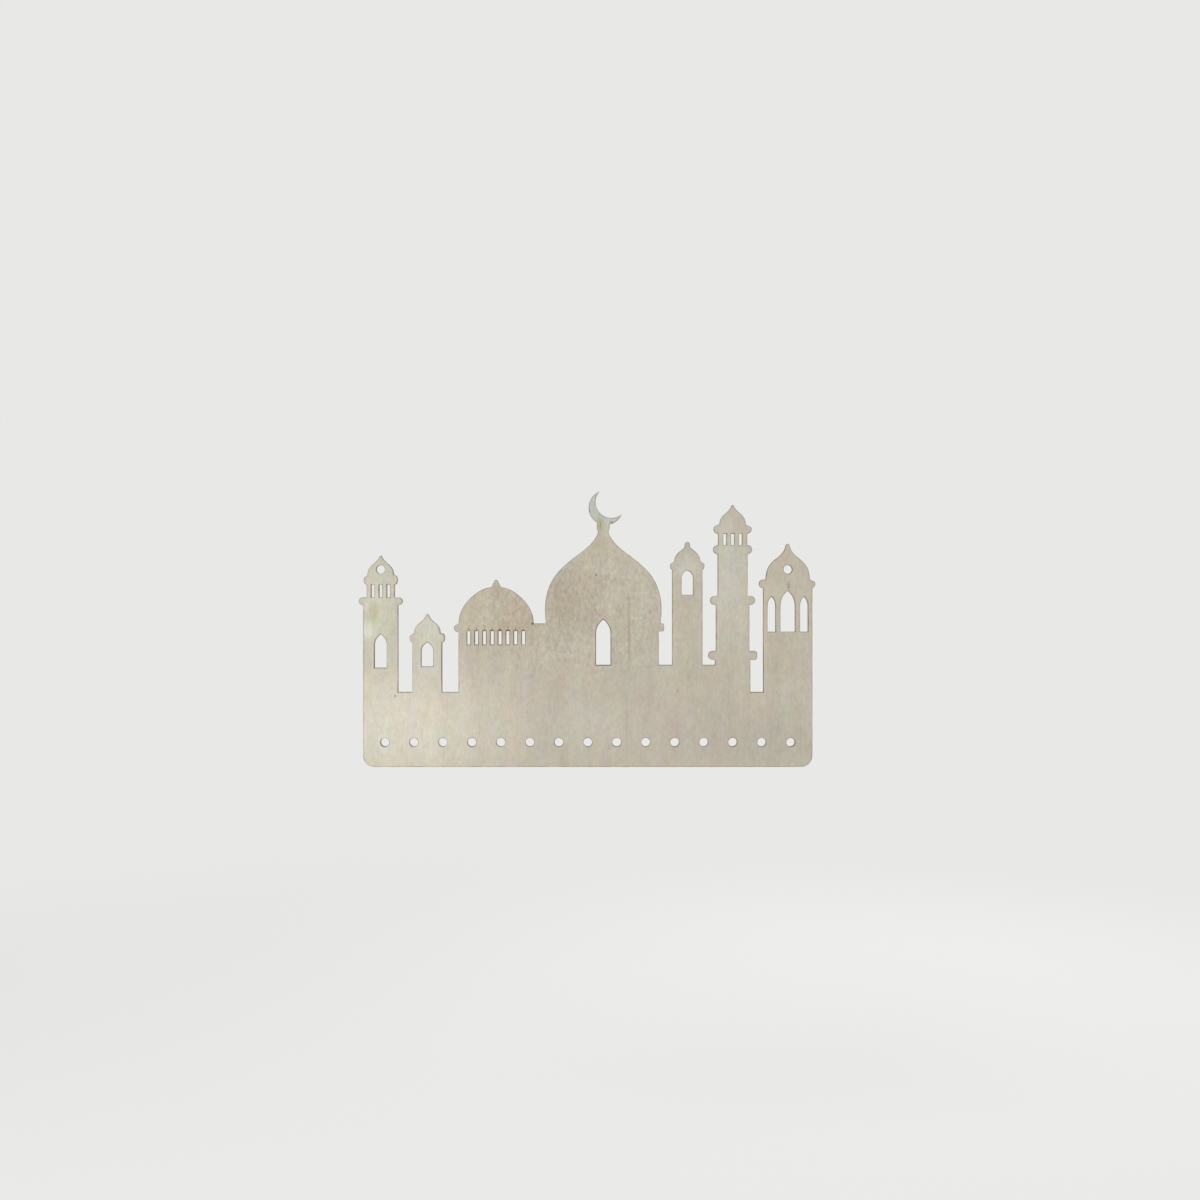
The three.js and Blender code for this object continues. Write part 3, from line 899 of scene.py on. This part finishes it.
def edit(
    item: bpy.types.Object, *steps: Callable[[], Any], edges: Callable[[Any], bool] | None = None
) -> None:
    """Works on an object in edit mode.

    Args:
        item: The object.
        steps: What is done to the selection, in this order.
        edges: Which edges are selected, or None for the whole mesh.
    """
    pick(item)
    chosen = [edges(edge) for edge in item.data.edges] if edges else []
    bpy.ops.object.mode_set(mode="EDIT")
    bpy.ops.mesh.select_mode(type="EDGE" if edges else "VERT")
    bpy.ops.mesh.select_all(action="DESELECT" if edges else "SELECT")
    if edges:
        bpy.ops.object.mode_set(mode="OBJECT")
        item.data.edges.foreach_set("select", chosen)
        bpy.ops.object.mode_set(mode="EDIT")
    for step in steps:
        step()
    bpy.ops.object.mode_set(mode="OBJECT")


def fill() -> None:
    """Fills the selected closed lines with faces."""
    bpy.ops.mesh.fill(use_beauty=True)


def copied(item: bpy.types.Object) -> bpy.types.Object:
    """Returns a copy of an object with a mesh of its own."""
    pick(item)
    bpy.ops.object.duplicate(linked=False)
    return bpy.context.active_object


def merged_copy(node: bpy.types.Object) -> bpy.types.Object:
    """Returns a copy of a CAD node whose loose triangles are joined."""
    copy = copied(node)
    edit(copy, lambda: bpy.ops.mesh.remove_doubles(threshold=0.001 * MM))
    return copy


@dataclass(frozen=True)
class Turn:
    """One turn of a layer's skin along the cut: its place in depth, its way in, and its scorch."""

    depth: float
    way_in: float
    scorch: float


@dataclass(frozen=True)
class BoardLayer:
    """One ply or glue line of the board."""

    layer: Layer
    name: str
    finishes: tuple[BareVeneer | BurntEdge, ...]
    # -1 where its face looks forwards, 1 where it looks backwards and 0 where no face shows
    outward: int = 0
    # The laser's arris, and how the scorch fades on the face behind it
    arris: float = 0.08
    rim: tuple[tuple[float, float], ...] = ((0.08, 1.0), (0.3, 0.75), (0.68, 0.0))

    def turns(self) -> list[Turn]:
        """Lists the turns of the layer's skin, from its inner side to its outer one."""
        low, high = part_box(self.layer.value)
        inner, outer = (high[1], low[1]) if self.outward < 0 else (low[1], high[1])
        if not self.outward:
            return [Turn(inner, 0.0, 1.0), Turn(outer, 0.0, 1.0)]
        shoulder = outer - self.outward * self.arris * MM
        face = [Turn(outer, way_in * MM, scorch) for way_in, scorch in self.rim]
        return [Turn(inner, 0.0, 1.0), Turn(shoulder, 0.0, 1.0), *face]

    def build(self, outline: Outline, clear: list[list[float]]) -> bpy.types.Object:
        """Cuts the layer and dresses it.

        Args:
            outline: The board's outline.
            clear: The outline's clearances.

        Returns:
            The finished piece.
        """
        turns = self.turns()
        points = [
            (point.x, turn.depth, point.y)
            for turn in turns
            for loop in outline.moved_in(clear, turn.way_in)
            for point in loop
        ]
        round_once = len(points) // len(turns)
        faces, first = [], 0
        for loop in outline.loops:
            for i in range(len(loop)):
                here, after = first + i, first + (i + 1) % len(loop)
                for start in range(0, len(points) - round_once, round_once):
                    end = start + round_once
                    faces.append((start + here, start + after, end + after, end + here))
            first += len(loop)
        mesh = bpy.data.meshes.new(self.name)
        mesh.from_pydata(points, [], faces)
        piece = bpy.data.objects.new(self.name, mesh)
        bpy.context.scene.collection.objects.link(piece)

        last = len(points) - round_once
        edit(piece, fill, edges=lambda edge: max(edge.vertices) < round_once)
        edit(piece, fill, edges=lambda edge: min(edge.vertices) >= last)
        edit(piece, lambda: bpy.ops.mesh.normals_make_consistent(inside=False))
        if self.outward:
            scorch = [turn.scorch for turn in turns for _ in range(round_once)]
            mesh.attributes.new(SCORCH, "FLOAT", "POINT").data.foreach_set("value", scorch)
        self.dress(piece)
        return piece

    def dress(self, piece: bpy.types.Object) -> None:
        """Gives the piece its finishes and its place in the frame.

        Args:
            piece: The layer's piece.
        """
        for finish in self.finishes:
            piece.data.materials.append(finish.material())
        for face in piece.data.polygons:
            face.material_index = 0 if abs(face.normal.y) > FLAT else len(self.finishes) - 1
        pick(piece)
        bpy.ops.object.shade_smooth_by_angle(angle=SMOOTH_ANGLE)
        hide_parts(self.layer.value)
        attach(piece, BODY)
        LOG.info("%s: %d faces", self.name, len(piece.data.polygons))


@dataclass(frozen=True)
class Board:
    """The whole hanging board."""

    layers: tuple[BoardLayer, ...] = (
        BoardLayer(Layer.FRONT_VENEER, "front_veneer", (FRONT_WOOD, VENEER_EDGE), outward=-1),
        BoardLayer(Layer.FRONT_GLUE, "front_glue", (GLUE_EDGE,)),
        BoardLayer(Layer.CORE, "core", (CORE_EDGE,)),
        BoardLayer(Layer.BACK_GLUE, "back_glue", (GLUE_EDGE,)),
        BoardLayer(Layer.BACK_VENEER, "back_veneer", (BACK_WOOD, VENEER_EDGE), outward=1),
    )

    def build(self, core: bpy.types.Object) -> list[bpy.types.Object]:
        """Builds every layer from one outline.

        Args:
            core: The CAD node of the core, whose outline all layers share.

        Returns:
            The pieces from front to back.
        """
        outline = Outline.of_node(core).rounded()
        LOG.info("outline: %d lines, %d points", len(outline.loops), sum(map(len, outline.loops)))
        clear = outline.clearances()
        return [layer.build(outline, clear) for layer in self.layers]


# Studio


@dataclass(frozen=True)
class Lamp:
    """A square soft lamp that is aimed at the board."""

    name: str
    place: Triple
    watts: float
    size: float

    def build(self, target: Vector) -> None:
        """Adds the lamp.

        Args:
            target: The point that it is aimed at.
        """
        data = bpy.data.lights.new(self.name, "AREA")
        data.energy = self.watts
        data.size = self.size
        lamp = bpy.data.objects.new(self.name, data)
        bpy.context.scene.collection.objects.link(lamp)
        lamp.location = self.place
        lamp.rotation_euler = (target - lamp.location).to_track_quat("-Z", "Y").to_euler()


@dataclass(frozen=True)
class Studio:
    """The pale floor far below the board, the lamps, the sky and the camera."""

    floor_height: float = -0.49
    floor_size: float = 4.0
    floor_colour: Colour = (236, 236, 235)
    floor_fades: tuple[float, float] = (1.7, 0.5)
    backdrop: Colour = (232, 232, 231)
    sky_colour: Colour = (255, 255, 255)
    sky_strength: float = 0.8
    # The camera looks straight ahead, with this much of the board's plane across its picture.
    camera_place: Triple = (0.0109, -0.9015, -0.0211)
    camera_distance: float = 0.9
    picture_width: float = 0.828
    sensor: float = 36.0
    target: Triple = (0.0, 0.0, -0.04)
    lamps: tuple[Lamp, ...] = (
        Lamp("key", (-0.75, -1.25, 0.85), 7.5, 0.9),
        Lamp("back_fill", (0.8, 1.3, 0.6), 5.0, 0.9),
    )

    def build(self) -> None:
        """Sets up the floor, the lamps, the sky and the camera."""
        self.add_floor()
        self.light_sky()
        for lamp in self.lamps:
            lamp.build(Vector(self.target))
        self.add_camera()
        bpy.context.scene.view_settings.view_transform = "Standard"

    def add_floor(self) -> None:
        """Adds the floor, which fades into the backdrop with its distance."""
        pick_nothing()
        bpy.ops.mesh.primitive_plane_add(size=self.floor_size, location=(0.0, 0.0, self.floor_height))
        floor = bpy.context.active_object
        floor.name = floor.data.name = "floor"
        bpy.ops.object.transform_apply(location=True, rotation=True, scale=True)
        material = bpy.data.materials.new("floor_paper")
        nodes = Nodes(material)
        flat = nodes.place() * (1.0, 1.0, 0.0)
        away = nodes.add("ShaderNodeVectorMath", {"operation": "LENGTH"}, {0: flat}, "Value") * MM
        paper = nodes.add("ShaderNodeBsdfDiffuse", {}, {"Color": seen(self.floor_colour)})
        clear = nodes.add("ShaderNodeBsdfTransparent", {}, {})
        shader = nodes.add("ShaderNodeMixShader", {}, {0: away.fade(*self.floor_fades), 1: clear, 2: paper})
        nodes.add("ShaderNodeOutputMaterial", {}, {"Surface": shader})
        floor.data.materials.append(material)

    def light_sky(self) -> None:
        """Lights the scene evenly, and shows the backdrop's tone to the camera and to gloss."""
        world = bpy.data.worlds.new("sky")
        bpy.context.scene.world = world
        nodes = Nodes(world)
        rays = [
            nodes.add("ShaderNodeLightPath", {}, {}, ray)
            for ray in ("Is Camera Ray", "Is Glossy Ray", "Is Transmission Ray")
        ]
        shown = (rays[0] + rays[1] + rays[2]).limited()
        sky = {"Color": seen(self.sky_colour), "Strength": self.sky_strength}
        light = nodes.add("ShaderNodeBackground", {}, sky)
        backdrop = nodes.add("ShaderNodeBackground", {}, {"Color": seen(self.backdrop), "Strength": 1.0})
        shader = nodes.add("ShaderNodeMixShader", {}, {0: shown, 1: light, 2: backdrop})
        nodes.add("ShaderNodeOutputWorld", {}, {"Surface": shader})

    def add_camera(self) -> None:
        """Adds the camera, level and square to the board."""
        data = bpy.data.cameras.new("camera")
        data.sensor_width = self.sensor
        data.lens = self.sensor * self.camera_distance / self.picture_width
        camera = bpy.data.objects.new("camera", data)
        bpy.context.scene.collection.objects.link(camera)
        camera.location = self.camera_place
        camera.rotation_euler = (math.radians(90), 0.0, 0.0)
        bpy.context.scene.camera = camera


def main() -> None:
    logging.basicConfig(level=logging.INFO, format="%(message)s")
    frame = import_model()
    Board().build(frame["nodes"][Layer.CORE.value])
    Studio().build()


if __name__ == "__main__":
    main()
